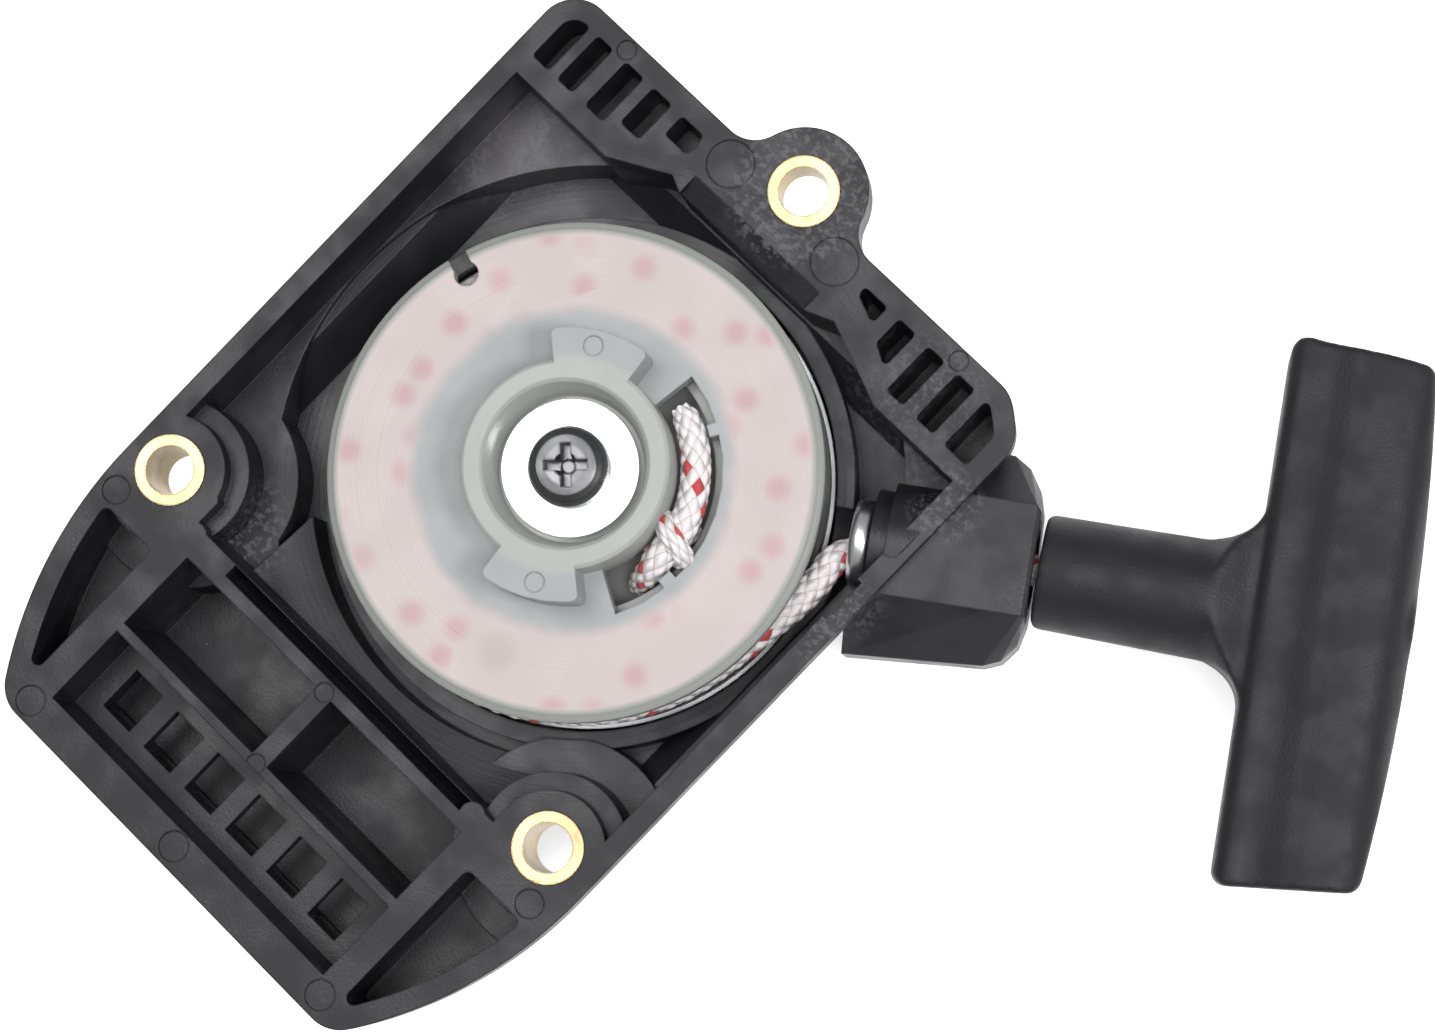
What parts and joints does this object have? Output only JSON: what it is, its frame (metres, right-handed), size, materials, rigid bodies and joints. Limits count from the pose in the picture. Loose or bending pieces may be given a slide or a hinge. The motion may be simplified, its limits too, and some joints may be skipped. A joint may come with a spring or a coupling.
{
  "type": "recoil starter",
  "caption": "Recoil starter for a small engine: moulded housing with a grille, a spring-returned rope reel with drive lugs, and a T handle on a braided rope.",
  "frame": {"origin": "the reel's turning axis, which is the crankshaft's axis, where it meets the plane of the mounting rim", "axes": "+Z along the crankshaft's axis, out of the open side towards the engine; +Y from the grille end to the top ear; +X to the side that the rope leaves from"},
  "size_m": [0.1304, 0.1345, 0.0292],
  "materials": {
    "housing_nylon": "black moulded nylon, satin, worn pale along the rim",
    "handle_nylon": "black moulded nylon, matte",
    "collar_brass": "turned brass",
    "eyelet_chrome": "bright plated",
    "pressed_steel": "pressed sheet, lightly oiled",
    "spring_steel": "blued spring strip",
    "reel_nylon": "milky natural nylon, slightly see-through",
    "zinc_plate": "bright zinc plate",
    "screw_zinc": "zinc plate, slightly dull",
    "rope_braid": "white braided cord with red tracer"
  },
  "bodies": {
    "starter_body": {"housing": "housing_nylon", "collar_left": "collar_brass", "collar_right": "collar_brass", "collar_top": "collar_brass", "post_insert": "collar_brass", "rope_eyelet": "eyelet_chrome", "spring_case": "pressed_steel", "recoil_spring": "spring_steel", "spring_cover": "pressed_steel", "reel_washer": "zinc_plate", "reel_screw": "screw_zinc", "rope_lead": "rope_braid"},
    "reel_body": {"reel": "reel_nylon", "rope_winding": "rope_braid", "rope_reel_knot": "rope_braid"},
    "handle_body": {"handle_grip": "handle_nylon", "handle_cap": "handle_nylon", "knot_washer": "zinc_plate", "rope_handle_run": "rope_braid", "rope_handle_knot": "rope_braid"}
  },
  "joints": [
    {"name": "handle_pull", "type": "slide", "parent": "starter_body", "child": "handle_body", "axis": [0.8211, 0.5707, 0], "range_m": [0, 0.65], "stiffness_N_per_m": 25, "springref_m": -0.4},
    {"name": "reel_spin", "type": "hinge", "parent": "starter_body", "child": "reel_body", "pos_m": [0, 0, 0], "axis": [0, 0, 1], "range_deg": [0, 1700], "deforming": ["recoil_spring"]}
  ],
  "couplings": [
    {"joint": "reel_spin", "follows": "handle_pull", "rad_per_m": 45}
  ]
}
